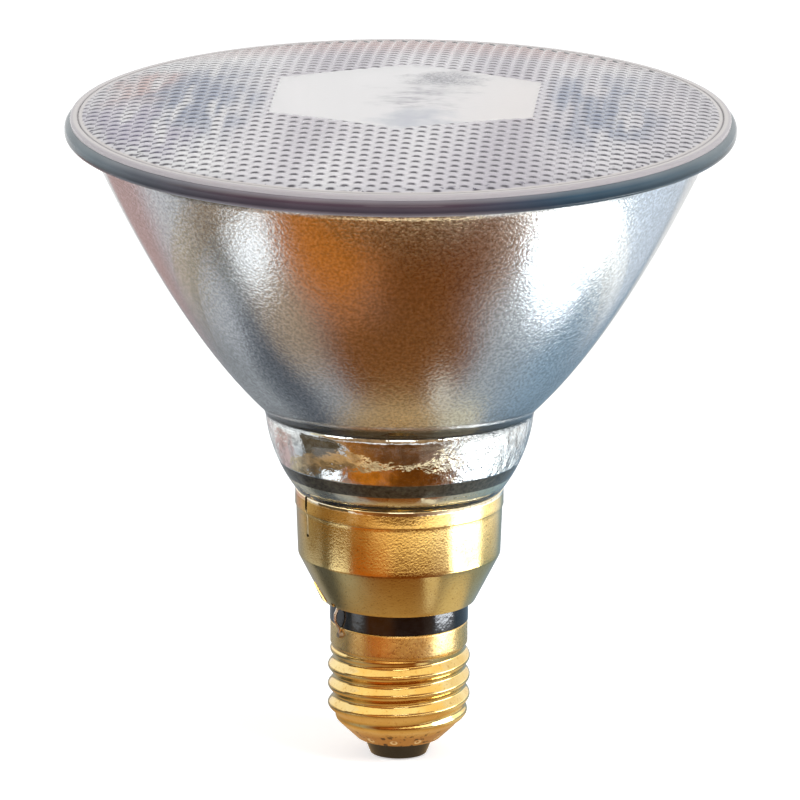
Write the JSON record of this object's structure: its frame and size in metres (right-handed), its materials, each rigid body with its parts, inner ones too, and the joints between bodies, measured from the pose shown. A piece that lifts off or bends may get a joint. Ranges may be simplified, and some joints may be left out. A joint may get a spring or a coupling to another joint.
{
  "type": "reflector lamp",
  "caption": "Pressed-glass reflector lamp with a mirrored paraboloid bowl, a patterned front lens and a skirted brass screw cap, screwed into an E27 lampholder.",
  "frame": {"origin": "middle of the centre contact's underside, the lowest point of the cap", "axes": "+Z along the lamp's axis from the cap to the lens, +X to the right in the picture, +Y away from the camera"},
  "size_m": [0.122, 0.122, 0.125],
  "materials": {
    "lens_glass": "clear pressed glass",
    "mirrored_glass": "pressed glass, mirrored inside",
    "satin_brass": "satin, faint grain",
    "bright_brass": "bright rolled brass",
    "black_glass": "glossy black glass",
    "lead_metal": "nickelled wire",
    "filament_wire": "drawn tungsten",
    "solder": "soft solder",
    "cement": "matt basing cement"
  },
  "bodies": {
    "root": {"base_plug": "black_glass", "cap_cement": "cement", "cap_skirt": "satin_brass", "centre_contact": "bright_brass", "centre_lead_wire": "lead_metal", "contact_solder": "solder", "exhaust_tube": "lens_glass", "ferrule_left": "lead_metal", "ferrule_right": "lead_metal", "filament": "filament_wire", "filament_post_left": "lead_metal", "filament_post_right": "lead_metal", "front_lens": "lens_glass", "insulator_ring": "black_glass", "reflector_bowl": "mirrored_glass", "screw_shell": "bright_brass", "side_lead_wire": "lead_metal", "side_weld": "solder"}
  },
  "joints": []
}
